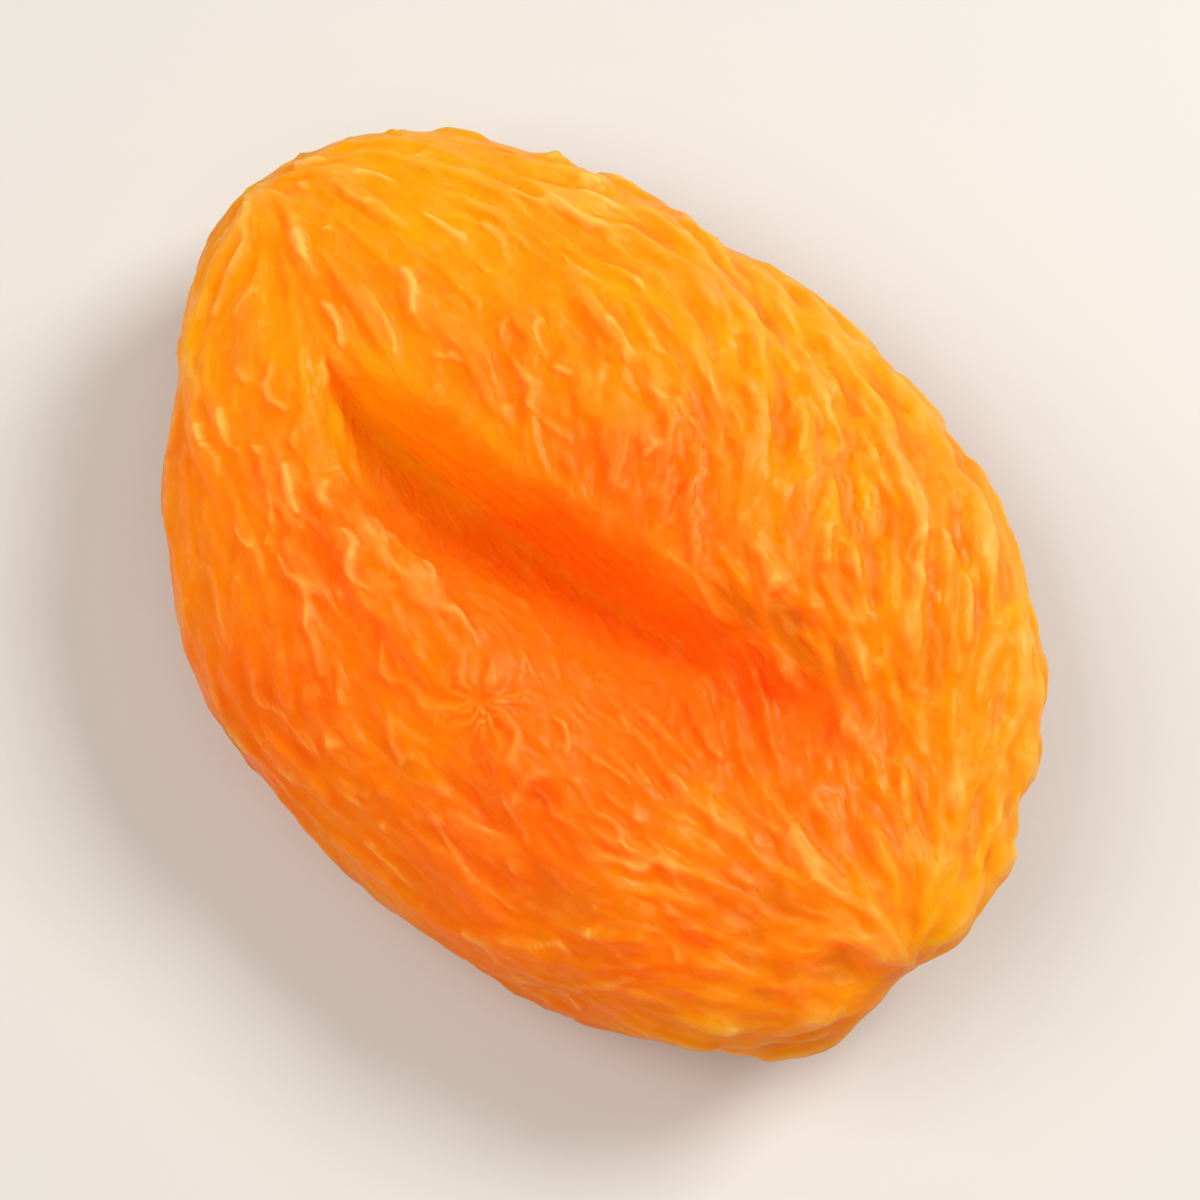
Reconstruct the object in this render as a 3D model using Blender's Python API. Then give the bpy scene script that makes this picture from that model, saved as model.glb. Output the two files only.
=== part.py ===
"""A pitted dried apricot, lying on its back with the hollow left by the stone facing up.

Run with: blender --background --python part.py, or from Blender's text editor. Units are metres, +Z is up.
The stem end points along +X and the tip along -X. The origin is on the surface that the fruit lies on, under
the middle of its outline. The fruit is one piece of flesh and skin, so it is one object: a sphere of even
quads, pressed to a plump egg-shaped pad, bent, hollowed under a rolled lip, creased, and set down on a flat.
"""

import cmath
import math

import bmesh
import bpy
import numpy as np
from mathutils import Vector, noise

# The size of the pad, before it is bent and creased
LENGTH = 0.0401
WIDTH = 0.0286
THICKNESS = 0.0104

# How many quads run along each side of the cube that becomes the sphere, how much finer the top's are, and
# how many steps the pad's profile is measured in
CELLS_PER_SIDE = 31
TOP_FINENESS = 0.45
PROFILE_STEPS = 721

# The pad: how square its edge is, how much wider the stem end is, how far the ends lean, curl up and hang
EDGE_FULLNESS = 2.35
EGG = 0.06
END_SKEW = 0.0019
CURL_OF_ENDS = 0.0014
DROOP_OF_SIDES = 0.0004

# The heights between which the top begins, measured from the pad's middle
TOP_STARTS = -0.0005
TOP_IS_WHOLE = 0.0027

# The hollow, as (x, value) points: its low side's y, how widely that side slopes in, its lip's y, the width
# of the lip's wall, its depth by the lip, and the share of that depth that the floor has at the low side.
# The lines through the points are rounded over CURVE_ROUNDING to each side.
LOW_SIDE = (
    (-0.0126, -0.0021), (-0.0108, -0.0037), (-0.0088, -0.0053), (-0.0070, -0.0060), (-0.0047, -0.0060),
    (-0.0025, -0.0061), (0.0000, -0.0066), (0.0027, -0.0075), (0.0072, -0.0084), (0.0135, -0.0081),
)
LOW_SLOPE = ((-0.0117, 0.0018), (-0.0063, 0.0018), (-0.0036, 0.0024), (0.0009, 0.0050), (0.0135, 0.0072))
LIP = (
    (-0.0126, -0.0017), (-0.0112, -0.0015), (-0.0084, -0.0008), (-0.0041, -0.0003), (0.0000, 0.0004),
    (0.0038, 0.0010), (0.0059, 0.0015), (0.0086, 0.0022), (0.0135, 0.0036),
)
LIP_WALL = ((-0.0117, 0.0019), (-0.0072, 0.0018), (0.0036, 0.0022), (0.0081, 0.0045), (0.0126, 0.0081))
DEPTH = (
    (-0.0135, 0.0000), (-0.0108, 0.0029), (-0.0072, 0.0045), (-0.0018, 0.0047), (0.0027, 0.0038),
    (0.0063, 0.0032), (0.0099, 0.0025), (0.0135, 0.0015), (0.0180, 0.0000),
)
FLOOR_START = ((-0.0126, 0.45), (-0.0050, 0.45), (-0.0009, 0.22), (0.0045, 0.05), (0.0135, 0.0))
DEEPEST = 0.0047
CURVE_ROUNDING = 0.0016
CURVE_STEPS = 9

# The lip leans out over the hollow, and the rim behind it swells to a shoulder
LIP_OVERHANG = 0.0007
LIP_REACH = 0.0054
LIP_SMOOTHNESS = 0.92
FOOT_REACH = 0.0045
LEAN_FROM = -0.0009
LEAN_WHOLE = 0.0040
SHOULDER_RISE = 0.0009
SHOULDER_WIDTH = 0.0054
SHOULDER_LENGTH = 0.0126

# Single creases with a sharp crest, as (x, y) points on the top: round the hollow, and along the low flank
CREST_WIDTH = 0.0008
CREST_FADE = 0.0018
LOW_CREST_DROP = 0.0003
LOW_CREST_HEIGHT = 0.0002
FLANK_CREST = ((0.0027, -0.0077), (0.0047, -0.0079), (0.0067, -0.0083), (0.0088, -0.0081), (0.0135, -0.0097))
FLANK_CREST_HEIGHT = 0.0004

# The stem scar, the tip at the fruit's other end, the folds that gather at the scar, and its dent
SCAR = (0.0203, -0.0027, 0.0009)
TIP = (-0.0201, 0.0012)
SCAR_REACH = 0.0077
SCAR_FOLDS = 2.1
SCAR_FOLD_HEIGHT = 0.0009
SCAR_DENT = 0.0008
SCAR_DENT_WIDTH = 0.0024

# Broad lumps of the flesh, and the place in the noise that gives the wanted ones
LUMP_SIZE = 0.0108
LUMP_HEIGHT = 0.0008
LUMP_PLACE = (3.1, 7.7, 1.9)

# Folds of the skin: their spacing, the steps along the skin that draw each one out, how far they sway and
# turn over the shoulder, how narrow and high their crests are, and what keeps them calm where it is steep
FOLD_SPACING = 0.0024
FOLD_STEPS = (-0.0020, -0.0010, 0.0, 0.0010, 0.0020)
FOLD_SWAY = 0.9
SWAY_SIZE = 0.0060
SHOULDER_TURN = 0.6
SHOULDER_MIDDLE = complex(-0.0009, 0.0050)
TURN_REACH = 0.0090
FOLD_SHARPNESS = 3.0
FOLD_HEIGHT = 0.00055
STEEP_END = 0.25

# The folds are weak on top by the tip and on the low side, and grow to their full height away from there and
# on the outside, below these heights from the pad's middle
WEAK_FOLDS = 0.45
WEAK_BEFORE = -0.0108
STRONG_AFTER = 0.0036
SLANT_OF_STRONG = 0.6
OUTSIDE_ENDS = 0.0002
OUTSIDE_WHOLE = -0.0022

# The underside: smooth where the fruit lies, and pressed to a flat
SMOOTH_BELOW = 0.0004
CREASED_ABOVE = 0.0018
FLAT_DEPTH = 0.0004

APRICOT_ORANGE = (0.93, 0.34, 0.03, 1.0)
SKIN_ROUGHNESS = 0.45


def clear_scene():
    for thing in list(bpy.data.objects):
        bpy.data.objects.remove(thing)


def smoothstep(low, high, value):
    share = np.clip((value - low) / (high - low), 0.0, 1.0)
    return share * share * (3.0 - 2.0 * share)


def smooth_curve(points, x):
    """The value at x of a line through the points, its corners rounded by averaging over a short stretch."""
    at = np.array(points)
    steps = np.linspace(-CURVE_ROUNDING, CURVE_ROUNDING, CURVE_STEPS)
    return np.mean([np.interp(x + step, at[:, 0], at[:, 1]) for step in steps], axis=0)


def even_sphere(bm):
    """A cube of even quads, blown up to a unit sphere. Gives its points as rows."""
    bmesh.ops.create_cube(bm, size=2.0)
    bmesh.ops.subdivide_edges(bm, edges=bm.edges[:], cuts=CELLS_PER_SIDE - 1, use_grid_fill=True)
    corners = np.array([vertex.co for vertex in bm.verts])
    spread = np.tan(corners * math.pi / 4.0)
    return spread / np.linalg.norm(spread, axis=1, keepdims=True)


def pressed_pad(sphere):
    """The sphere as a plump pad. Its quads are spread evenly from the top to the underside, finer on top."""
    turn = np.linspace(0.0, math.pi, PROFILE_STEPS)
    power = 2.0 / EDGE_FULLNESS
    out = np.sin(turn) ** power
    up = np.sign(np.cos(turn)) * np.abs(np.cos(turn)) ** power
    steps = np.hypot(np.diff(out) * (LENGTH + WIDTH) / 4.0, np.diff(up) * THICKNESS / 2.0)
    walked = np.concatenate([[0.0], np.cumsum(steps)]) / np.sum(steps)
    share = np.arccos(np.clip(sphere[:, 2], -1.0, 1.0)) / math.pi
    share = (1.0 - TOP_FINENESS) * share + TOP_FINENESS * share * share
    reach = np.interp(share, walked, out)
    height = np.interp(share, walked, up)
    around = np.arctan2(sphere[:, 1], sphere[:, 0])
    return np.column_stack([
        LENGTH / 2.0 * reach * np.cos(around),
        WIDTH / 2.0 * reach * np.sin(around),
        THICKNESS / 2.0 * height,
    ])


def bend_pad(points):
    """Widens the stem end, leans the ends to opposite sides, curls them up, and lets the sides hang."""
    along = points[:, 0] / (LENGTH / 2.0)
    across = points[:, 1] / (WIDTH / 2.0)
    bent = points.copy()
    bent[:, 1] *= 1.0 + EGG * along
    bent[:, 1] -= END_SKEW * along ** 3
    bent[:, 2] += CURL_OF_ENDS * along ** 2 - DROOP_OF_SIDES * across ** 2
    bent[:, :2] -= (bent[:, :2].min(axis=0) + bent[:, :2].max(axis=0)) / 2.0
    return bent


def press_hollow(points):
    """Sinks the hollow's floor, deepest at the foot of the lip, and swells the shoulder, on the top alone."""
    x, y, z = points.T
    low_side = smooth_curve(LOW_SIDE, x)
    lip = smooth_curve(LIP, x)
    wall = smooth_curve(LIP_WALL, x)
    across = np.clip((y - low_side) / (lip - low_side), 0.0, 1.0)
    start = smooth_curve(FLOOR_START, x)
    floor = start + (1.0 - start) * across
    inside = smoothstep(low_side, low_side + smooth_curve(LOW_SLOPE, x), y)
    inside *= 1.0 - smoothstep(lip - wall / 2.0, lip + wall / 2.0, y)
    shoulder = np.exp(-((y - lip) / SHOULDER_WIDTH - 1.0) ** 2 - (x / SHOULDER_LENGTH) ** 2)
    change = SHOULDER_RISE * shoulder - smooth_curve(DEPTH, x) * inside * floor
    sunk = points.copy()
    sunk[:, 2] += change * smoothstep(TOP_STARTS, TOP_IS_WHOLE, z)
    return sunk


def lip_share(points):
    """1 along the deep part of the lip, falling to 0 across its wall, behind it and on the underside."""
    x, y, z = points.T
    lip = smooth_curve(LIP, x)
    near = smoothstep(lip - smooth_curve(LIP_WALL, x), lip, y) * (1.0 - smoothstep(lip, lip + LIP_REACH, y))
    return near * smoothstep(LEAN_FROM, LEAN_WHOLE, z) * smooth_curve(DEPTH, x) / DEEPEST


def roll_lip(points):
    """The lip leans out over the hollow: the higher a point on its wall, the further it moves."""
    rolled = points.copy()
    rolled[:, 1] -= LIP_OVERHANG * lip_share(points)
    return rolled


def smooth_share(pad):
    """1 on the deep part of the lip and at its foot, where the skin is drawn smooth, on the top alone."""
    x, y, z = pad.T
    lip = smooth_curve(LIP, x)
    foot = lip - smooth_curve(LIP_WALL, x)
    near = smoothstep(foot - FOOT_REACH, foot, y) * (1.0 - smoothstep(lip, lip + LIP_REACH, y))
    return near * smoothstep(TOP_STARTS, TOP_IS_WHOLE, z) * smooth_curve(DEPTH, x) / DEEPEST


def crest(points, line, drop, height):
    """A crest this far below a line of (x, y) points, on the top alone, fading at the line's two ends."""
    x, y, z = points.T
    start, end = line[0][0], line[-1][0]
    ends = smoothstep(start, start + CREST_FADE, x) * (1.0 - smoothstep(end - CREST_FADE, end, x))
    off = (y - smooth_curve(line, x) + drop) / CREST_WIDTH
    return height * ends * smoothstep(0.0, TOP_IS_WHOLE, z) * np.exp(-off * off)


def raise_crests(points):
    raised = points.copy()
    raised[:, 2] += crest(points, LOW_SIDE, LOW_CREST_DROP, LOW_CREST_HEIGHT)
    raised[:, 2] += crest(points, FLANK_CREST, 0.0, FLANK_CREST_HEIGHT)
    return raised


def normals_of(mesh, points):
    mesh.vertices.foreach_set("co", points.astype(np.float32).ravel())
    mesh.update()
    found = np.empty(len(points) * 3, np.float32)
    mesh.vertex_normals.foreach_get("vector", found)
    return found.reshape(-1, 3).astype(float)


def sharp_crest(value):
    """Turns a noise value into a crest that is 1 where the noise is 0, with a broad valley on each side."""
    return math.exp(-(FOLD_SHARPNESS * value) ** 2)


def lump(point):
    return LUMP_HEIGHT * noise.noise(point / LUMP_SIZE + Vector(LUMP_PLACE))


def along_skin(point, normal):
    """The way on the skin that leads from the scar to the tip, swaying, and turned over the shoulder."""
    place = complex(point.x, point.y)
    turn = cmath.phase((place - complex(SCAR[0], SCAR[1])) * (place - complex(*TIP)))
    turn += FOLD_SWAY * noise.noise(point / SWAY_SIZE)
    turn -= SHOULDER_TURN * math.exp(-(abs(place - SHOULDER_MIDDLE) / TURN_REACH) ** 2)
    level = Vector((math.cos(turn), math.sin(turn), 0.0))
    onto = level - normal * level.dot(normal)
    return onto / (onto.length + STEEP_END)


def fold(point, normal):
    """Folds drawn out along the skin, weaker on top by the tip and on the low side."""
    along = along_skin(point, normal)
    values = [noise.noise((point + step * along) / FOLD_SPACING) for step in FOLD_STEPS]
    strong = smoothstep(WEAK_BEFORE, STRONG_AFTER, point.x + SLANT_OF_STRONG * point.y)
    strong = max(strong, 1.0 - smoothstep(OUTSIDE_WHOLE, OUTSIDE_ENDS, point.z))
    height = FOLD_HEIGHT * (WEAK_FOLDS + (1.0 - WEAK_FOLDS) * strong)
    return height * sharp_crest(sum(values) / len(values))


def scar_fold(point):
    """Folds that spread from the stem scar, and the dent in its middle, where they end."""
    away = point - Vector(SCAR)
    near = max(0.0, 1.0 - away.length / SCAR_REACH)
    dent = math.exp(-(away.length / SCAR_DENT_WIDTH) ** 2)
    spread = sharp_crest(noise.noise(SCAR_FOLDS * away.normalized()))
    return SCAR_FOLD_HEIGHT * near * (1.0 - dent) * spread - SCAR_DENT * dent


def crease(points, normals, smooth):
    """Lumps and folds, raised along the normals. They fade out by the lip and where the fruit lies."""
    raised = np.array([
        lump(point) + fold(point, normal) + scar_fold(point)
        for point, normal in zip(map(Vector, points), map(Vector, normals))
    ])
    above = points[:, 2] - points[:, 2].min()
    raised *= smoothstep(SMOOTH_BELOW, CREASED_ABOVE, above) * (1.0 - LIP_SMOOTHNESS * smooth)
    return points + normals * raised[:, None]


def set_down(points):
    """The outline's middle comes over the origin, and the lowest skin is pressed flat on the surface."""
    low = points.min(axis=0)
    middle = (low + points.max(axis=0)) / 2.0
    placed = points - np.array([middle[0], middle[1], low[2] + FLAT_DEPTH])
    placed[:, 2] = np.maximum(placed[:, 2], 0.0)
    return placed


def skin_material():
    material = bpy.data.materials.new("dried apricot skin")
    material.use_nodes = True
    shader = material.node_tree.nodes["Principled BSDF"]
    shader.inputs["Base Color"].default_value = APRICOT_ORANGE
    shader.inputs["Roughness"].default_value = SKIN_ROUGHNESS
    return material


def dried_apricot(collection):
    mesh = bpy.data.meshes.new("dried_apricot")
    bm = bmesh.new()
    sphere = even_sphere(bm)
    bm.to_mesh(mesh)
    bm.free()
    pad = bend_pad(pressed_pad(sphere))
    points = roll_lip(raise_crests(press_hollow(pad)))
    points = set_down(crease(points, normals_of(mesh, points), smooth_share(pad)))
    mesh.vertices.foreach_set("co", points.astype(np.float32).ravel())
    mesh.update()
    mesh.shade_smooth()
    mesh.materials.append(skin_material())
    fruit = bpy.data.objects.new("dried_apricot", mesh)
    collection.objects.link(fruit)
    return fruit


def main():
    clear_scene()
    collection = bpy.data.collections.new("dried apricot")
    bpy.context.scene.collection.children.link(collection)
    dried_apricot(collection)


main()
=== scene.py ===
# %% [markdown]
# A dried apricot
#
# This lesson dresses one dried apricot in Blender. The real thing is a stoned fruit that lost most of its
# water. The flesh shrank, the skin did not, and so the skin crumpled. What makes it look like an apricot
# and not like clay is the net of fine wrinkles, the light that goes into the orange flesh and comes out
# again redder, and the satin of a slightly sticky skin. The solid model gives the form and its broad
# folds. Here the same form gets the fine wrinkles and the finish. All lengths are in metres, so 0.001 is
# a millimetre.

import cmath
import math

import bpy
import numpy as np
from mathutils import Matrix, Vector, noise


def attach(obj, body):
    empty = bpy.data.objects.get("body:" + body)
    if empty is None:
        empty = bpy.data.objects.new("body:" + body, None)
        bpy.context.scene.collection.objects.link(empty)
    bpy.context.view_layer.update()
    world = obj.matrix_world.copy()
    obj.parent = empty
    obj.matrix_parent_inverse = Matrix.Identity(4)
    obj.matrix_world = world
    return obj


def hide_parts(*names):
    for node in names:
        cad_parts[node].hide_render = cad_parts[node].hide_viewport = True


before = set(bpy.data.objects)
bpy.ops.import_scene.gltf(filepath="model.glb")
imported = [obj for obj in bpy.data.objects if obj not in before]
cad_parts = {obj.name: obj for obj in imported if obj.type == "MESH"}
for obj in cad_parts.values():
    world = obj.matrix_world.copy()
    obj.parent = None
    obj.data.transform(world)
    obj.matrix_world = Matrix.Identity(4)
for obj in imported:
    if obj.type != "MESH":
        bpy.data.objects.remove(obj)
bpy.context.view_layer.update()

# %% [markdown]
# The form of the flesh
#
# The fruit is one piece of flesh, so it is one object. It could be sculpted anew, but then it would no
# longer have the size and the hollow of the solid. A copy of the solid's mesh keeps both. The copy comes
# as loose triangles, so its doubles are merged first, and then the triangles are joined back to quads,
# because a subdivision surface rounds quads far more evenly than triangles.

# %% Copy the solid's mesh and join its triangles to quads
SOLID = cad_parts["dried_apricot"]
MERGE_DISTANCE = 0.000002
QUAD_ANGLE = math.radians(40.0)

bpy.ops.object.select_all(action="DESELECT")
fruit = bpy.data.objects.new("apricot_flesh", SOLID.data.copy())
bpy.context.scene.collection.objects.link(fruit)
bpy.context.view_layer.objects.active = fruit
fruit.select_set(True)
fruit.data.materials.clear()
bpy.ops.object.mode_set(mode="EDIT")
bpy.ops.mesh.select_all(action="SELECT")
bpy.ops.mesh.remove_doubles(threshold=MERGE_DISTANCE)
bpy.ops.mesh.normals_make_consistent(inside=False)
bpy.ops.mesh.tris_convert_to_quads(face_threshold=QUAD_ANGLE, shape_threshold=QUAD_ANGLE)
bpy.ops.object.mode_set(mode="OBJECT")
quads = sum(len(face.vertices) == 4 for face in fruit.data.polygons)
print("quads:", quads, "triangles left:", len(fruit.data.polygons) - quads)

# %% [markdown]
# Soft folds and enough points
#
# Flesh has no hard corners, so a Smooth modifier first takes the edge off the solid's folds and off the
# foot of the lip. The finest wrinkles are about half a millimetre wide, and a mesh can only hold what is
# wider than a few of its faces. Two levels of subdivision bring the faces down to about 0.15 mm. Both
# modifiers are applied, because the next steps move the points one by one.

# %% Smooth and subdivide the flesh
SOFTENING = 0.5
SOFTENING_ROUNDS = 2
FINE_LEVELS = 2

soft = fruit.modifiers.new("soft", "SMOOTH")
soft.factor = SOFTENING
soft.iterations = SOFTENING_ROUNDS
bpy.ops.object.modifier_apply(modifier=soft.name)
finer = fruit.modifiers.new("finer", "SUBSURF")
finer.levels = FINE_LEVELS
finer.render_levels = FINE_LEVELS
bpy.ops.object.modifier_apply(modifier=finer.name)
fruit.data.shade_smooth()
print("points:", len(fruit.data.vertices), "faces:", len(fruit.data.polygons))

# %% [markdown]
# Which way the wrinkles run
#
# Skin that shrinks round a fruit folds along the lines that lead from the stem scar to the tip, like
# lines of longitude. Seen from above, those are the circles through both ends. Their direction at a point
# is the direction of a product of two complex numbers: the ways from the point to each end. Over the
# swollen shoulder the skin is drawn down towards the hollow, so the direction is turned there, and a
# broad noise sways it everywhere, so that no wrinkle runs straight.

# %% Find the way along the skin
STEM_SCAR = complex(0.0203, -0.0027)
TIP = complex(-0.0201, 0.0012)
SHOULDER = complex(-0.0009, 0.0050)
SHOULDER_REACH = 0.0090
SHOULDER_TURN = 0.6
SWAY = 0.6
SWAY_SIZE = 0.0050
STEEP_END = 0.25


def along_skin(point, normal):
    """The way on the skin from the stem scar to the tip, turned over the shoulder, and swaying."""
    place = complex(point.x, point.y)
    turn = cmath.phase((place - STEM_SCAR) * (place - TIP))
    turn -= SHOULDER_TURN * math.exp(-(abs(place - SHOULDER) / SHOULDER_REACH) ** 2)
    turn += SWAY * noise.noise(point / SWAY_SIZE)
    level = Vector((math.cos(turn), math.sin(turn), 0.0))
    onto = level - normal * level.dot(normal)
    return onto / (onto.length + STEEP_END)


# %% [markdown]
# Noise that is drawn out
#
# A wrinkle is long and narrow, but the bumps of plain noise are round. So the noise is averaged over a
# few places along the skin, which draws each bump out to a stroke. A texture could be stretched instead,
# but only one fixed way, and wrinkles turn with the skin.

# %% Draw noise out along the skin
DRAW_STEPS = (-1.0, -0.6, -0.3, 0.0, 0.3, 0.6, 1.0)


def drawn_noise(point, along, spacing, reach):
    """Noise whose bumps are this far apart, drawn out this far to each side along the skin."""
    values = [noise.noise((point + step * reach * along) / spacing) for step in DRAW_STEPS]
    return sum(values) / len(values)


print("places averaged:", len(DRAW_STEPS))

# %% [markdown]
# Broad wrinkles and pits
#
# The broad wrinkles are raised strokes, half a millimetre wide, three or so long, and a little under a
# millimetre apart, with pits between them. They could be carved one by one, but there are hundreds. Where
# the drawn noise is high there is a stroke, where it is low there is a pit, and a smooth step between two
# values rounds their sides.

# %% Measure a stroke and a pit
STROKE_SPACING = 0.00082
STROKE_REACH = 0.0015
STROKE_STARTS = -0.04
STROKE_WHOLE = 0.25
PIT_STARTS = -0.04
PIT_WHOLE = -0.20


def smoothstep(low, high, value):
    """0 below low, 1 above high, and a smooth rise between them. With high below low it is a fall."""
    share = min(1.0, max(0.0, (value - low) / (high - low)))
    return share * share * (3.0 - 2.0 * share)


def stroke_and_pit(point, along):
    """How much a point is on a broad wrinkle and how much in a pit, each from 0 to 1."""
    value = drawn_noise(point, along, STROKE_SPACING, STROKE_REACH)
    return smoothstep(STROKE_STARTS, STROKE_WHOLE, value), smoothstep(PIT_STARTS, PIT_WHOLE, value)


# %% [markdown]
# Thin crests and the fine net
#
# Over the strokes lie thin crests that wander. The lines on which a noise passes through zero wander just
# so, but they close to rings. A crest is therefore drawn only where the noise rises to one side, which
# leaves the rings open, and a second noise breaks it off here and there. A finer net of such lines, too
# low for its rings to show, lies over everything.

# %% Measure a thin crest and the net
THIN_SPACING = 0.00098
THIN_REACH = 0.0009
THIN_SHARPNESS = 9.0
THIN_ACROSS = 0.00018
THIN_RISE_STARTS = 0.01
THIN_RISE_WHOLE = 0.07
BREAK_SPACING = 0.0015
BREAK_STARTS = -0.22
BREAK_WHOLE = 0.08
SOMEWHERE_ELSE = Vector((0.05, 0.02, 0.03))
NET_SPACING = 0.00075
NET_REACH = 0.0007
NET_SHARPNESS = 4.6


def thin_crest(point, along, across):
    """1 on a thin crest, 0 beside it and where it is broken off."""
    whole = smoothstep(BREAK_STARTS, BREAK_WHOLE, noise.noise((point + SOMEWHERE_ELSE) / BREAK_SPACING))
    before = drawn_noise(point - THIN_ACROSS * across, along, THIN_SPACING, THIN_REACH)
    after = drawn_noise(point + THIN_ACROSS * across, along, THIN_SPACING, THIN_REACH)
    rising = smoothstep(THIN_RISE_STARTS, THIN_RISE_WHOLE, after - before)
    return whole * rising * math.exp(-(THIN_SHARPNESS * (before + after) / 2.0) ** 2)


def net(point, along):
    """1 on a fine crease's crest, falling off quickly to each side."""
    return math.exp(-(NET_SHARPNESS * drawn_noise(point, along, NET_SPACING, NET_REACH)) ** 2)


# %% [markdown]
# Where the wrinkles crowd
#
# The skin isn't wrinkled evenly. The rim on the high side and the stem end are covered with strokes and
# deep pits, the top near the tip has fewer, and the outside of the fruit lies in between. That could be
# painted on by hand, as a weight on each point. A smooth step along a slanted line gives the same, and
# it can be read and changed.

# %% Say where the wrinkles crowd
CALM_BEFORE = -0.0060
FULL_AFTER = 0.0100
SLANT_OF_FULL = 1.2
OUTSIDE_WHOLE = 0.0035
OUTSIDE_ENDS = 0.0055
OUTSIDE_FULL = 0.35


def fullness(point):
    """1 where wrinkles crowd, on the high side and the stem end, and 0 on the top at the tip."""
    full = smoothstep(CALM_BEFORE, FULL_AFTER, point.x + SLANT_OF_FULL * point.y)
    return max(full, OUTSIDE_FULL * (1.0 - smoothstep(OUTSIDE_WHOLE, OUTSIDE_ENDS, point.z)))


print("fullness at the stem scar:", fullness(Vector((STEM_SCAR.real, STEM_SCAR.imag, OUTSIDE_ENDS))))

# %% [markdown]
# The lip and the low rim
#
# The lip of the hollow is smooth, because the skin was stretched there over the stone. The low rim across
# from it is the opposite: near the tip one sharp pale crest runs all along it. Each follows a bent line,
# given by a few of its points as seen from above. The rim's crest also waves to both sides of its line,
# so that it doesn't look drawn with a ruler.

# %% Follow the lip and the low rim
LIP_LINE = ((-0.0126, -0.0026), (-0.0041, -0.0014), (0.0038, -0.0002), (0.0086, 0.0012), (0.0135, 0.0030))
LIP_BAND = 0.0027
LIP_STARTS = (-0.0125, -0.0095)
LIP_ENDS = (0.0030, 0.0095)
RIM_LINE = (
    (-0.0126, -0.0018), (-0.0110, -0.0029), (-0.0067, -0.0055), (-0.0010, -0.0060), (0.0037, -0.0061),
)
RIM_BAND = 0.00032
RIM_WAVE = 0.0011
RIM_WAVE_SIZE = 0.0017
RIM_STARTS = (-0.0126, -0.0110)
RIM_ENDS = (-0.0010, 0.0037)


def off_line(line, point):
    """How far to the high side of a bent line a point lies, seen from above."""
    return point.y - float(np.interp(point.x, *zip(*line)))


def lip_share(point):
    """1 along the lip of the hollow, falling to 0 to each side of it and towards the stem end."""
    lengthwise = smoothstep(*LIP_STARTS, point.x) * (1.0 - smoothstep(*LIP_ENDS, point.x))
    on_top = smoothstep(OUTSIDE_WHOLE, OUTSIDE_ENDS, point.z)
    return lengthwise * on_top * math.exp(-(off_line(LIP_LINE, point) / LIP_BAND) ** 2)


def rim_share(point):
    """1 on the waving crest of the hollow's low rim, near the tip, and 0 beside it."""
    lengthwise = smoothstep(*RIM_STARTS, point.x) * (1.0 - smoothstep(*RIM_ENDS, point.x))
    across = off_line(RIM_LINE, point) - RIM_WAVE * noise.noise(point / RIM_WAVE_SIZE)
    return lengthwise * math.exp(-(across / RIM_BAND) ** 2) * (point.z > OUTSIDE_ENDS)


# %% [markdown]
# How strong the wrinkles are
#
# One share for each point, from 0 to about 1, brings this together. The lip is calmest. The top near the
# tip is calm too, with one spot that is smoother still, and so is the underside, down to the flat that
# the fruit lies on. Patches in between differ a little, by a broad noise, as nothing that grew is even.

# %% Say how strong the wrinkles are
CALM_WRINKLES = 0.65
LIP_CALM = 0.80
SMOOTH_SPOT = (-0.0095, 0.0050)
SMOOTH_REACH = 0.0032
SMOOTH_CALM = 0.6
UNDER_CALM = 0.70
UNDER_STARTS = 0.55
UNDER_WHOLE = -0.55
PATCH_SIZE = 0.0042
PATCH_SHARE = 0.6


def wrinkle_strength(point, normal):
    """How strong the wrinkles are: 0 where the skin is smooth, 1 or a little more where they are full."""
    patch = 1.0 + PATCH_SHARE * noise.noise(point / PATCH_SIZE)
    strength = patch * (CALM_WRINKLES + (1.0 - CALM_WRINKLES) * fullness(point))
    strength *= 1.0 - SMOOTH_CALM * smoothstep(SMOOTH_REACH, 0.0, math.dist(point[:2], SMOOTH_SPOT))
    strength *= 1.0 - UNDER_CALM * smoothstep(UNDER_STARTS, UNDER_WHOLE, normal.z)
    return strength * (1.0 - LIP_CALM * lip_share(point))


print("strength left on the calm top, on the lip, below:", CALM_WRINKLES, round(1.0 - LIP_CALM, 2),
      round(1.0 - UNDER_CALM, 2))

# %% [markdown]
# The star
#
# On the low side of the hollow the photo shows a small star of wrinkles, where the skin is pinched
# together. It could be sculpted by hand, but a formula can be read and changed. Its rays follow a noise
# that is looked up by direction alone, so that each one runs out from the middle. Another noise bends the
# rays, and the very middle stays free, or they would meet in a hard point.

# %% Shape the star
STAR = (0.0019, -0.0073)
STAR_REACH = 0.0034
STAR_FOLDS = 2.6
STAR_SHARPNESS = 4.0
STAR_EYE = 0.0004
STAR_BEND = 0.0007
STAR_BEND_SIZE = 0.0013


def way_from(middle, point):
    """The way from a spot on the top to a point, seen from above. On the outside it is endlessly long."""
    return Vector((point.x - middle[0], point.y - middle[1], 0.0 if point.z > OUTSIDE_ENDS else math.inf))


def star_share(point):
    """1 in the middle of the star and 0 where its rays have run out."""
    return smoothstep(STAR_REACH, 0.0, way_from(STAR, point).length)


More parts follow.
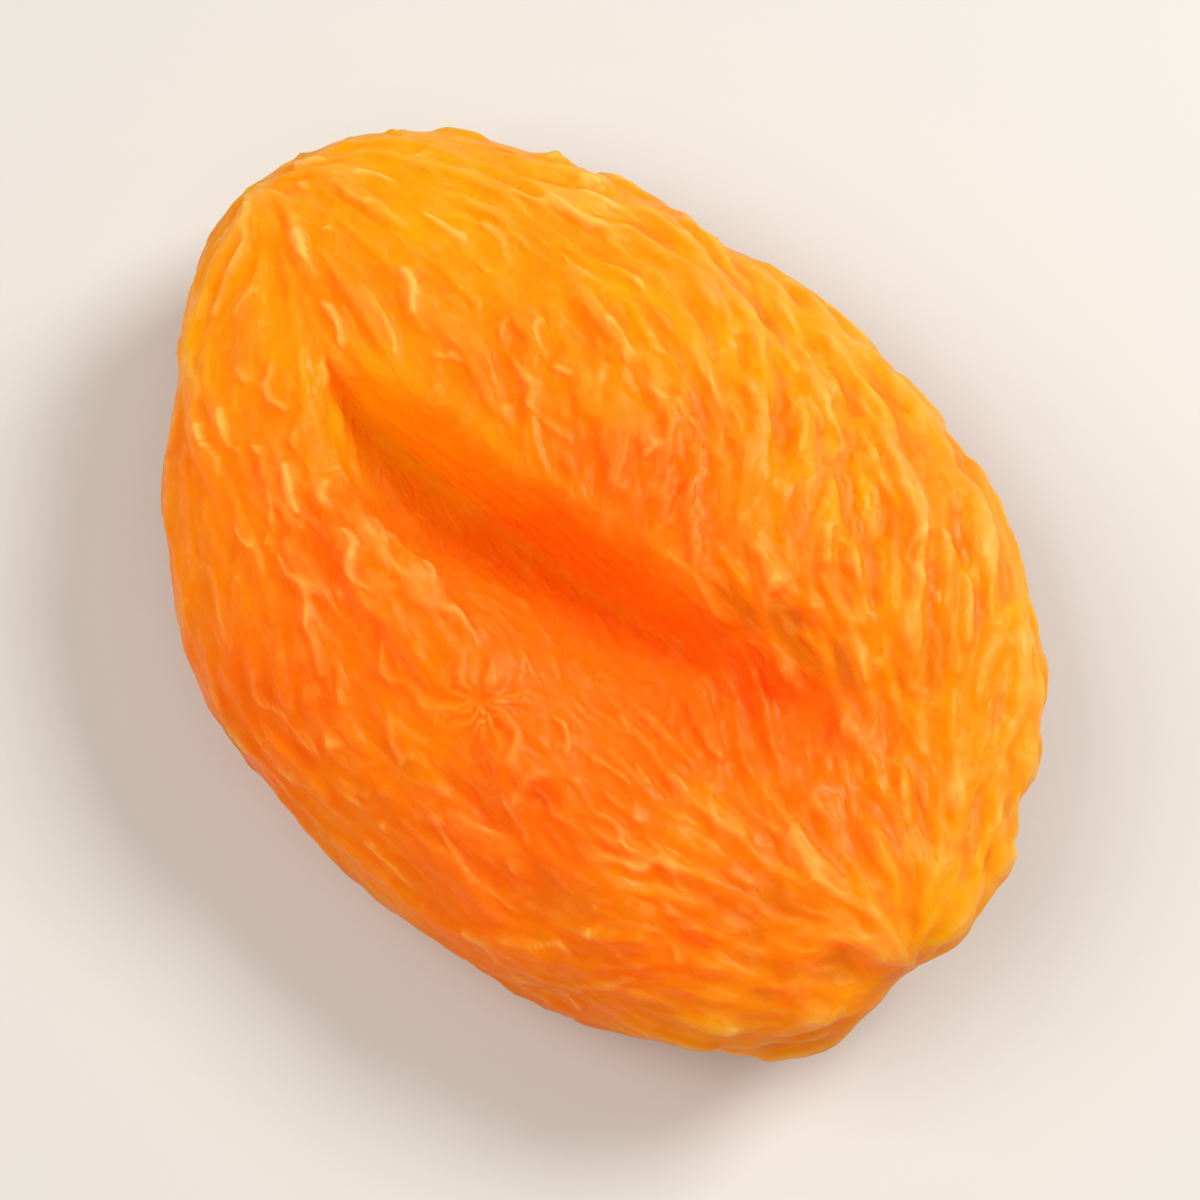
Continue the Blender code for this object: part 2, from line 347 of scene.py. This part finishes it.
def star_crest(point):
    """1 on a ray of the star, which wanders a little, and 0 beside it and right in the middle."""
    way = way_from(STAR, point)
    free_of_eye = 1.0 - math.exp(-(way.length / STAR_EYE) ** 2)
    bent = way + STAR_BEND * Vector((
        noise.noise(point / STAR_BEND_SIZE), noise.noise((point + SOMEWHERE_ELSE) / STAR_BEND_SIZE), 0.0,
    ))
    return free_of_eye * math.exp(-(STAR_SHARPNESS * noise.noise(STAR_FOLDS * bent.normalized())) ** 2)


# %% [markdown]
# The dent
#
# A little further along the low side there is one small round dent, with an edge that is raised on the
# side towards the tip. It falls away from its middle like a bell curve, which leaves no hard line where
# it ends.

# %% Shape the dent
DENT = (0.0063, -0.0084)
DENT_WIDTH = 0.0005
DENT_EDGE = 0.0009
DENT_EDGE_WIDTH = 0.00028
DENT_EDGE_STARTS = 0.0002
DENT_EDGE_WHOLE = -0.0008


def dent_share(point):
    """1 in the middle of the dent, falling to 0 round it."""
    return math.exp(-(way_from(DENT, point).length / DENT_WIDTH) ** 2)


def dent_edge(point):
    """1 on the edge of the dent, on its side towards the tip, and 0 beside it."""
    way = way_from(DENT, point)
    side = smoothstep(DENT_EDGE_STARTS, DENT_EDGE_WHOLE, way.x)
    return side * math.exp(-((way.length - DENT_EDGE) / DENT_EDGE_WIDTH) ** 2)


# %% [markdown]
# Points and normals
#
# To raise the skin, each point is moved along its normal. A Displace modifier could do it with a texture,
# but its textures have no direction along the skin, so it is done point by point. Blender hands over all
# points in one long row of numbers, which is far quicker than asking for them one at a time.

# %% Read the points and their normals
def read_rows(items, name):
    """One property of all items, three numbers a row."""
    values = np.empty(len(items) * 3, np.float32)
    items.foreach_get(name, values)
    return values.reshape(-1, 3).astype(float)


points = read_rows(fruit.data.vertices, "co")
normals = read_rows(fruit.data.vertex_normals, "vector")
print("points read:", len(points), "normals read:", len(normals))

# %% [markdown]
# Raising the skin
#
# At each point the heights of the strokes, thin crests, net, star and dent are added up. Thin crests are
# fewer where the strokes crowd, and pits are shallower where the skin is calm. The flat that the fruit
# lies on stays as it is. The mean height is taken off again everywhere else, which keeps the fruit the
# size it was. What lies on a crest or in a pit is kept, because the colour follows it.

# %% Raise the wrinkles
FLAT_BELOW = 0.0001
FREE_ABOVE = 0.0012
STROKE_HEIGHT = 0.00040
THIN_HEIGHT = 0.00024
NET_HEIGHT = 0.00009
PIT_DEPTH = 0.00010
STAR_HEIGHT = 0.00028
DENT_EDGE_HEIGHT = 0.00014
DENT_DEPTH = 0.00055
THIN_ON_FULL = 0.35
PIT_ON_CALM = 0.3
STAR_CALM = 0.7
PALE_STROKE = 0.5
RIM_CREST = 0.8
STAR_PALE = 0.7
DENT_EDGE_PALE = 0.55

crests, pits, strengths, heights, frees, dents = np.zeros((6, len(points)))
alongs = np.zeros((len(points), 3))
for index, (point, normal) in enumerate(zip(map(Vector, points), map(Vector, normals))):
    along = along_skin(point, normal)
    across = normal.cross(along)
    alongs[index] = along
    star = star_share(point)
    frees[index] = smoothstep(FLAT_BELOW, FREE_ABOVE, point.z)
    strength = frees[index] * wrinkle_strength(point, normal) * (1.0 - STAR_CALM * star)
    strengths[index] = strength
    stroke, pit = stroke_and_pit(point, along)
    full = fullness(point)
    thin = thin_crest(point, along, across) * (1.0 - full * (1.0 - THIN_ON_FULL))
    thin = max(thin, RIM_CREST * rim_share(point))
    # The crest share becomes a pale tint, partly painted highlight, and the pit share becomes painted
    # shade.
    crests[index] = min(1.0, strength * (PALE_STROKE * stroke + thin))
    pits[index] = min(1.0, strength * (PIT_ON_CALM + (1.0 - PIT_ON_CALM) * full) * pit)
    height = STROKE_HEIGHT * stroke + THIN_HEIGHT * thin + NET_HEIGHT * net(point, along)
    heights[index] = strength * height - PIT_DEPTH * pits[index]
    if star > 0.0:
        ray = star * star_crest(point)
        heights[index] += STAR_HEIGHT * ray
        crests[index] = max(crests[index], STAR_PALE * ray)
    dents[index] = dent_share(point)
    edge = dent_edge(point)
    heights[index] += DENT_EDGE_HEIGHT * edge - DENT_DEPTH * dents[index]
    crests[index] = max(crests[index], DENT_EDGE_PALE * edge)
heights -= heights.mean() * frees
moved = points + normals * heights[:, None]
moved[:, 2] = np.maximum(moved[:, 2], 0.0)
fruit.data.vertices.foreach_set("co", moved.astype(np.float32).ravel())
fruit.data.update()

# %% [markdown]
# The red shade of the hollow
#
# The hollow gets painted shade. At the foot of the lip, where the hollow is deepest, the skin is coloured
# a deeper red-orange, which stands for the shade there and for the red light that reaches it only through
# the flesh. That follows the form, so it is worked out from it: a band along the lip's line, narrow up
# the lip's face and wide over the floor of the hollow. Painting it on would do too, but the band keeps
# its place if the lip's line is changed.

# %% Measure the hollow
LIP_TOP_STARTS = 0.0086
LIP_TOP = 0.0102
LIP_FACE_BAND = 0.0010
HOLLOW_BAND = 0.0033
HOLLOW_STARTS = (-0.0040, 0.0050)
HOLLOW_ENDS = (0.0090, 0.0180)
UNDER_HOLLOW = 0.0040


def hollow_share(point, starts):
    """1 at the foot of the lip, where the hollow is deepest, 0 on the lip's top, the flanks and below."""
    lengthwise = smoothstep(*starts, point.x) * (1.0 - smoothstep(*HOLLOW_ENDS, point.x))
    across = off_line(LIP_LINE, point)
    across /= LIP_FACE_BAND if across > 0.0 else HOLLOW_BAND
    level = (1.0 - smoothstep(LIP_TOP_STARTS, LIP_TOP, point.z)) * (point.z > UNDER_HOLLOW)
    return lengthwise * math.exp(-across * across) * level


skin_points = [Vector(place) for place in moved]
# The share below marks where the hollow gets its red painted shade.
hollow_shades = np.array([hollow_share(point, HOLLOW_STARTS) for point in skin_points])
print("points in the red of the hollow:", int((hollow_shades > 0.5).sum()))

# %% [markdown]
# The yellow cheek and painted light
#
# The side of the fruit that faced the sun ripened to yellow, all the way round to the tip and the stem
# end, and the side in the shade stayed orange. That yellow side is also the side the light falls on, so
# the yellow is partly the fruit's own colour and partly painted light. The distance from the middle of
# the shaded side says how yellow the skin is. The lip's face and the end of the hollow near the tip are a
# little more yellow than that. That is painted light, for the light that shines through the thin flesh
# there, and it lifts the shade that falls on them.

# %% Measure the cheek
SHADED = (0.0015, -0.0090)
SUNNY_AND_LIT_FROM = 0.0080
SUNNY_AND_LIT_WHOLE = 0.0235
LIP_FACE_MIDDLE = 0.0014
LIP_FACE_PAINTED_LIGHT = 0.25
CALM_STARTS = (-0.0130, -0.0060)
HOLLOW_TIP = (-0.0090, -0.0027)
HOLLOW_TIP_REACH = 0.0030
HOLLOW_TIP_PAINTED_LIGHT = 0.5


def lip_face_share(point):
    """1 along the middle of the lip's face, falling to 0 above and below it."""
    lengthwise = smoothstep(*CALM_STARTS, point.x) * (1.0 - smoothstep(*HOLLOW_ENDS, point.x))
    across = (off_line(LIP_LINE, point) - LIP_FACE_MIDDLE) / LIP_FACE_BAND
    return lengthwise * math.exp(-across * across) * (point.z > UNDER_HOLLOW)


def cheek_and_painted_light_share(point):
    """How yellow the skin is: own yellow and painted light on the lit side, the lip's face and the
    hollow's tip.
    """
    sunny_and_lit = smoothstep(SUNNY_AND_LIT_FROM, SUNNY_AND_LIT_WHOLE, math.dist(point[:2], SHADED))
    way = math.dist(point[:2], HOLLOW_TIP) / HOLLOW_TIP_REACH
    painted_light_at_hollow_tip = math.exp(-way * way) * (point.z > UNDER_HOLLOW)
    return sunny_and_lit + LIP_FACE_PAINTED_LIGHT * lip_face_share(point) + HOLLOW_TIP_PAINTED_LIGHT * painted_light_at_hollow_tip


cheek_and_painted_light_shares = np.array([cheek_and_painted_light_share(point) for point in skin_points])
print("points on the yellow side:", int((cheek_and_painted_light_shares > 0.5).sum()))

# %% [markdown]
# What the points remember
#
# A material can't see the arrays of a script. It can read a named attribute of the points, so what it
# needs is kept there: how creased the skin is, the crests, the pits, the hollow, the cheek, and the way
# along the skin for the finest creases. The crests carry a pale tint that is partly painted highlight,
# the pits and the hollow carry painted shade, and the cheek carries painted light as well as yellow.
# Inside the hollow the skin is almost without wrinkles, so their tints are held back there. Crests are
# paler where the skin is yellow than where it is orange, as a highlight is brighter on the lit side.

# %% Keep creased, crest, pit, hollow, the cheek with its painted light, and along on the points
HOLLOW_CALM = 0.8
PALE_IN_SHADE = 0.66


def keep_on_points(name, values):
    """Keeps one number for each point of the flesh, under a name that the material can ask for."""
    attribute = fruit.data.attributes.new(name, "FLOAT", "POINT")
    attribute.data.foreach_set("value", np.asarray(values, np.float32))
    print(name, "mean", round(float(np.mean(values)), 3), "highest", round(float(np.max(values)), 3))


in_hollow = np.array([hollow_share(point, CALM_STARTS) for point in skin_points])
outside_hollow = 1.0 - HOLLOW_CALM * in_hollow
keep_on_points("creased", np.clip(strengths, 0.0, 1.0) * outside_hollow)
# The crests below are a pale tint, partly painted highlight, stronger on the lit side.
keep_on_points("crest", crests * outside_hollow * (PALE_IN_SHADE + (1.0 - PALE_IN_SHADE) * cheek_and_painted_light_shares))
# The pits and the dent below get painted shade in ochre.
keep_on_points("pit", np.maximum(pits * outside_hollow, dents))
# The hollow's share and the dent below get the red painted shade.
keep_on_points("hollow", np.maximum(hollow_shades, dents))
# The cheek below is partly the fruit's own yellow and partly painted light.
keep_on_points("cheek_and_painted_light", cheek_and_painted_light_shares)
ways = fruit.data.attributes.new("along", "FLOAT_VECTOR", "POINT")
ways.data.foreach_set("vector", alongs.astype(np.float32).ravel())

# %% [markdown]
# Two helpers for the finish
#
# Colours are written as they look on a screen, as hex values. Blender's shaders want them linear, so one
# function turns each of them, by the standard curve for screens. Another adds a node, sets its options
# and fills its sockets, by name or by number.

# %% Helpers for colours and nodes
def colour(code):
    """A hex colour as the linear red, green, blue and alpha that a shader takes, by the sRGB curve."""
    shares = [int(code[start:start + 2], 16) / 255.0 for start in (1, 3, 5)]
    linear = [s / 12.92 if s <= 0.04045 else ((s + 0.055) / 1.055) ** 2.4 for s in shares]
    return (*linear, 1.0)


def add_node(tree, kind, options=None, sockets=None):
    """Adds a node. A socket's value is a plain value, or another node's output, which is then linked."""
    made = tree.nodes.new(kind)
    for name, value in (options or {}).items():
        setattr(made, name, value)
    for name, value in (sockets or {}).items():
        if isinstance(value, bpy.types.NodeSocket):
            tree.links.new(value, made.inputs[name])
        else:
            made.inputs[name].default_value = value
    return made


print("half grey on a screen is as linear light:", round(colour("#808080")[0], 3))

# %% [markdown]
# The finish of the flesh
#
# Dried apricot is flesh full of sugar and a little water, under a thin skin. It could be painted a plain
# orange, but it would look like plastic. The eye sees a cloudy orange that glows from inside, with small
# pale specks. So the material starts with a noise for the clouds, 6 mm from one to the next, a finer one
# for the specks, and all that the points remember.

# %% Start the material and its patterns
CLOUD_SIZE = 0.006
CLOUD_DETAIL = 3.0
FLECK_SIZE = 0.0009
FLECK_DETAIL = 2.0

flesh = bpy.data.materials.new("dried_apricot_flesh_satin_skin")
flesh.use_nodes = True
tree = flesh.node_tree
shader = tree.nodes["Principled BSDF"]
coordinates = add_node(tree, "ShaderNodeTexCoord").outputs["Object"]
crest, pit, creased, hollow, cheek_and_painted_light = [
    add_node(tree, "ShaderNodeAttribute", {"attribute_name": name}).outputs["Fac"]
    for name in ("crest", "pit", "creased", "hollow", "cheek_and_painted_light")
]
cloud, fleck = [
    add_node(tree, "ShaderNodeTexNoise", {}, {
        "Vector": coordinates, "Scale": 1.0 / size, "Detail": detail,
    }).outputs["Fac"]
    for size, detail in ((CLOUD_SIZE, CLOUD_DETAIL), (FLECK_SIZE, FLECK_DETAIL))
]
print("patterns ready, nodes:", len(tree.nodes))

# %% [markdown]
# Orange, yellow and red
#
# The flesh's own orange turns to yellow where the sun was, which is also where the light falls, so that
# yellow is partly painted light. The clouds are added, so that the border between the two isn't a clean
# line. In the hollow it turns to a deep red-orange, which is painted shade. An image could hold all of
# it, but mixed this way each colour stays a value that can be changed.

# %% Mix orange, yellow and the red of the hollow
ORANGE = "#F47305"
# The yellow below is partly the fruit's own and partly painted light on the lit side.
YELLOW = "#F8A003"
# The red-orange below is painted shade, for the hollow's shade and the red light that reaches it.
HOLLOW_SHADE_RED = "#FD6606"
CLOUD_RANGE = (0.3, 0.7)
CLOUD_SHARE = 0.3
SOFT_RANGE = {"interpolation_type": "SMOOTHSTEP"}
COLOUR_MIX = {"data_type": "RGBA", "clamp_factor": True}
COLOUR_A, COLOUR_B, MIXED = 6, 7, 2  # a Mix node's sockets for colours share their names with others

cloudiness = add_node(tree, "ShaderNodeMapRange", SOFT_RANGE, {
    "Value": cloud, "From Min": CLOUD_RANGE[0], "From Max": CLOUD_RANGE[1],
    "To Min": -CLOUD_SHARE, "To Max": CLOUD_SHARE,
}).outputs["Result"]
yellowness = add_node(tree, "ShaderNodeMath", {"operation": "ADD"}, {
    0: cheek_and_painted_light, 1: cloudiness,
}).outputs["Value"]
skin = colour(ORANGE)
for tint, share in ((YELLOW, yellowness), (HOLLOW_SHADE_RED, hollow)):
    skin = add_node(tree, "ShaderNodeMix", COLOUR_MIX, {
        "Factor": share, COLOUR_A: skin, COLOUR_B: colour(tint),
    }).outputs[MIXED]
print("base colours mixed, nodes:", len(tree.nodes))

# %% [markdown]
# Pale crests and flecks, painted shade in the pits
#
# Where the skin stands up in a crest it has dried the most and its sugar has begun to show, so it is
# paler, and the pale tint there is also a painted highlight. The same pale tint lies in small flecks
# between the crests. The pits are coloured a duller ochre, which is painted shade, the shade that falls
# into the folds. Light alone would show the wrinkles too, but more faintly than on the real fruit,
# because so much of it is spread inside the flesh.

# %% Pale the crests with a painted highlight and paint shade into the pits
# The pale below is partly dried sugar and partly painted highlight on the crests.
PALE_AND_HIGHLIGHT = "#FFBA5A"
CREST_RANGE = (0.10, 1.0)
CREST_PALE_AND_HIGHLIGHT = 0.86
FLECK_RANGE = (0.58, 0.75)
PALE_FLECK = 0.10
# The ochre below is painted shade in the pits and folds.
PIT_SHADE_OCHRE = "#D46A05"
PAINTED_PIT_SHADE = 0.52

pit_shade_share = add_node(tree, "ShaderNodeMath", {"operation": "MULTIPLY"}, {
    0: pit, 1: PAINTED_PIT_SHADE,
}).outputs["Value"]
crest_pale_and_highlight, fleck_paleness = [
    add_node(tree, "ShaderNodeMapRange", SOFT_RANGE, {
        "Value": pattern, "From Min": starts, "From Max": whole, "To Min": 0.0, "To Max": most,
    }).outputs["Result"]
    for pattern, starts, whole, most in (
        (crest, *CREST_RANGE, CREST_PALE_AND_HIGHLIGHT), (fleck, *FLECK_RANGE, PALE_FLECK),
    )
]
for tint, share in ((PIT_SHADE_OCHRE, pit_shade_share), (PALE_AND_HIGHLIGHT, crest_pale_and_highlight), (PALE_AND_HIGHLIGHT, fleck_paleness)):
    skin = add_node(tree, "ShaderNodeMix", COLOUR_MIX, {
        "Factor": share, COLOUR_A: skin, COLOUR_B: colour(tint),
    }).outputs[MIXED]
print("crests and pits tinted, nodes:", len(tree.nodes))

# %% [markdown]
# The finest creases
#
# Between the clear wrinkles the skin is creased more finely than the mesh can hold, under half a
# millimetre from crease to crease. They are drawn in the material, the way the wrinkles were on the mesh:
# a noise is looked up at five places along the skin and added up, which draws it out. The sum lies round
# 2.5. What is well above it is a crease's crest and what is well below is its pit. Both tint the skin,
# and the crests also tilt the light, as a bump.

# %% Draw the finest creases
FINE_SPACING = 0.00042
FINE_REACH = 0.00050
FINE_STEPS = (-1.0, -0.5, 0.0, 0.5, 1.0)
FINE_CREST_RANGE = (2.45, 3.0)
FINE_PIT_RANGE = (2.4, 2.0)

along = add_node(tree, "ShaderNodeAttribute", {"attribute_name": "along"}).outputs["Vector"]
fine = 0.0
for step in FINE_STEPS:
    shifted = add_node(tree, "ShaderNodeVectorMath", {"operation": "MULTIPLY_ADD"}, {
        0: along, 1: (step * FINE_REACH,) * 3, 2: coordinates,
    }).outputs["Vector"]
    looked_up = add_node(tree, "ShaderNodeTexNoise", {}, {
        "Vector": shifted, "Scale": 1.0 / FINE_SPACING, "Detail": 0.0,
    }).outputs["Fac"]
    fine = add_node(tree, "ShaderNodeMath", {"operation": "ADD"}, {
        0: fine, 1: looked_up,
    }).outputs["Value"]
fine_crest, fine_pit = [
    add_node(tree, "ShaderNodeMapRange", SOFT_RANGE, {
        "Value": fine, "From Min": starts, "From Max": whole,
    }).outputs["Result"]
    for starts, whole in (FINE_CREST_RANGE, FINE_PIT_RANGE)
]
print("creases drawn, nodes:", len(tree.nodes))

# %% [markdown]
# The tint of the finest creases
#
# They take the same two tints as the wrinkles, the pale that is partly painted highlight and the ochre
# that is painted shade, but faintly, and only as far as the skin is creased at all, so that the smooth
# lip and the hollow stay clear.

# %% Tint the finest creases
FINE_PALE_AND_HIGHLIGHT = 0.12
FINE_PIT_SHADE = 0.12

for tint, most, where in ((PALE_AND_HIGHLIGHT, FINE_PALE_AND_HIGHLIGHT, fine_crest), (PIT_SHADE_OCHRE, FINE_PIT_SHADE, fine_pit)):
    share = creased
    for factor in (where, most):
        share = add_node(tree, "ShaderNodeMath", {"operation": "MULTIPLY"}, {
            0: share, 1: factor,
        }).outputs["Value"]
    skin = add_node(tree, "ShaderNodeMix", COLOUR_MIX, {
        "Factor": share, COLOUR_A: skin, COLOUR_B: colour(tint),
    }).outputs[MIXED]
tree.links.new(skin, shader.inputs["Base Color"])
print("colour finished, links:", len(tree.links))

# %% [markdown]
# Light in the flesh
#
# Light goes into the flesh. Red light travels farthest in it, a few millimetres, green about a quarter of
# one and blue hardly at all, so the folds and the hollow glow red-orange where a painted surface would go
# dark. That is subsurface scattering. The flesh bends light like strong sugar water, which its index of
# refraction says, and the skin gives back a warm light.

# %% Let light into the flesh
RED_TRAVELS = 0.0045
SHARES_OF_RED = (1.0, 0.06, 0.02)
SUGARY_IOR = 1.42
SATIN_LEVEL = 0.40
SATIN_TINT = "#FFD9A8"

for socket, value in (
    ("Subsurface Weight", 1.0),
    ("Subsurface Scale", RED_TRAVELS),
    ("Subsurface Radius", SHARES_OF_RED),
    ("IOR", SUGARY_IOR),
    ("Specular IOR Level", SATIN_LEVEL),
    ("Specular Tint", colour(SATIN_TINT)),
):
    shader.inputs[socket].default_value = value

# %% [markdown]
# Satin and pores
#
# The skin is satin, and smoother in some places than in others, every 2 mm or so. One even roughness
# would make it look waxed. The pores, too fine for the mesh, are a bump, over the bump of the finest
# creases. Real pores are finer still, and these are as coarse as they need to be to show.

# %% Give the skin its satin and its pores
GLOSS_SIZE = 0.002
GLOSS_DETAIL = 3.0
GLOSS_RANGE = (0.3, 0.7)
ROUGHNESS_RANGE = (0.36, 0.52)
FINE_DEPTH = 0.00010
FINE_TILT = 0.35
PORE_SIZE = 0.00035
PORE_DETAIL = 2.0
PORE_DEPTH = 0.00006
PORE_TILT = 0.4

gloss, pores = [
    add_node(tree, "ShaderNodeTexNoise", {}, {
        "Vector": coordinates, "Scale": 1.0 / size, "Detail": detail,
    }).outputs["Fac"]
    for size, detail in ((GLOSS_SIZE, GLOSS_DETAIL), (PORE_SIZE, PORE_DETAIL))
]
roughness = add_node(tree, "ShaderNodeMapRange", SOFT_RANGE, {
    "Value": gloss, "From Min": GLOSS_RANGE[0], "From Max": GLOSS_RANGE[1],
    "To Min": ROUGHNESS_RANGE[0], "To Max": ROUGHNESS_RANGE[1],
}).outputs["Result"]
tree.links.new(roughness, shader.inputs["Roughness"])
tilted = add_node(tree, "ShaderNodeBump", {}, {
    "Height": fine_crest, "Distance": FINE_DEPTH, "Strength": FINE_TILT,
}).outputs["Normal"]
porous = add_node(tree, "ShaderNodeBump", {}, {
    "Height": pores, "Distance": PORE_DEPTH, "Strength": PORE_TILT, "Normal": tilted,
}).outputs["Normal"]
tree.links.new(porous, shader.inputs["Normal"])
fruit.data.materials.append(flesh)
print("finish:", flesh.name)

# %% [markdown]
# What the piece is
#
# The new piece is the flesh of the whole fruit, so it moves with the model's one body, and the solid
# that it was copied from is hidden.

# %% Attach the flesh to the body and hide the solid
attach(fruit, "root")
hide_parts("dried_apricot")

# %% [markdown]
# The floor
#
# The fruit lies on a plain pale sheet of matt paper. The sheet is far wider than the view, so no edge
# of it shows. Its colour is a light warm grey, which the lights bring up to almost white.

# %% Lay the floor
FLOOR_SIDE = 3.0
PAPER_COLOUR = "#D4D1CC"
PAPER_ROUGHNESS = 0.7

bpy.ops.object.select_all(action="DESELECT")
bpy.ops.mesh.primitive_plane_add(size=FLOOR_SIDE, location=(0.0, 0.0, 0.0))
floor = bpy.context.object
floor.name = "floor"
paper = bpy.data.materials.new("pale_matt_paper")
paper.use_nodes = True
paper_shader = paper.node_tree.nodes["Principled BSDF"]
paper_shader.inputs["Base Color"].default_value = colour(PAPER_COLOUR)
paper_shader.inputs["Roughness"].default_value = PAPER_ROUGHNESS
floor.data.materials.append(paper)
print("floor:", paper.name)

# %% [markdown]
# The light
#
# The light comes softly from beyond the high side, low enough that each wrinkle has a bright side and a
# darker one. A second, wider light from the near side keeps the shade from going dark, and a third from
# above reaches into the hollow, which lies in the lip's shade. Both give no gloss, because a wide
# reflection would lay a pale veil over the orange.

# %% Hang the lights
WHITE = "#FFFFFF"
WARM_WHITE = "#FFF7EE"
ROOM_LIGHT = 0.18


def softbox(name, place, width, power, tint, glossy):
    """A square soft light at a place, turned to the fruit."""
    data = bpy.data.lights.new(name, "AREA")
    data.size = width
    data.energy = power
    data.color = colour(tint)[:3]
    lamp = bpy.data.objects.new(name, data)
    lamp.location = place
    lamp.rotation_mode = "QUATERNION"
    lamp.rotation_quaternion = (-Vector(place)).to_track_quat("-Z", "Y")
    lamp.visible_glossy = glossy
    bpy.context.scene.collection.objects.link(lamp)


softbox("key", place=(0.07, 0.22, 0.22), width=0.12, power=0.81, tint=WHITE, glossy=True)
softbox("fill", place=(-0.17, -0.22, 0.36), width=0.35, power=1.32, tint=WARM_WHITE, glossy=False)
softbox("top", place=(0.10, -0.10, 0.42), width=0.35, power=0.46, tint=WARM_WHITE, glossy=False)
world = bpy.data.worlds.new("studio")
bpy.context.scene.world = world
world.use_nodes = True
background = world.node_tree.nodes["Background"]
background.inputs["Color"].default_value = colour(WHITE)
background.inputs["Strength"].default_value = ROOM_LIGHT

# %% [markdown]
# The camera
#
# It looks down on the fruit from 72 degrees above the horizon, from the near right, as the picture was
# taken. A long lens keeps the far end of the fruit as large as the near one. The view transform is
# Standard, because the film-like one makes strong orange dull.

# %% Place the camera
AZIMUTH = math.radians(45.0)
ELEVATION = math.radians(72.0)
DISTANCE = 0.1290
AIM = Vector((0.00139, -0.00052, 0.0058))
LENS = 100.0
NEAREST = 0.001

back = Vector((
    math.sin(AZIMUTH) * math.cos(ELEVATION),
    -math.cos(AZIMUTH) * math.cos(ELEVATION),
    math.sin(ELEVATION),
))
camera = bpy.data.objects.new("camera", bpy.data.cameras.new("camera"))
camera.data.lens = LENS
camera.data.clip_start = NEAREST
camera.location = AIM + back * DISTANCE
camera.rotation_mode = "QUATERNION"
camera.rotation_quaternion = (-back).to_track_quat("-Z", "Y")
bpy.context.scene.collection.objects.link(camera)
bpy.context.scene.camera = camera
bpy.context.scene.view_settings.view_transform = "Standard"
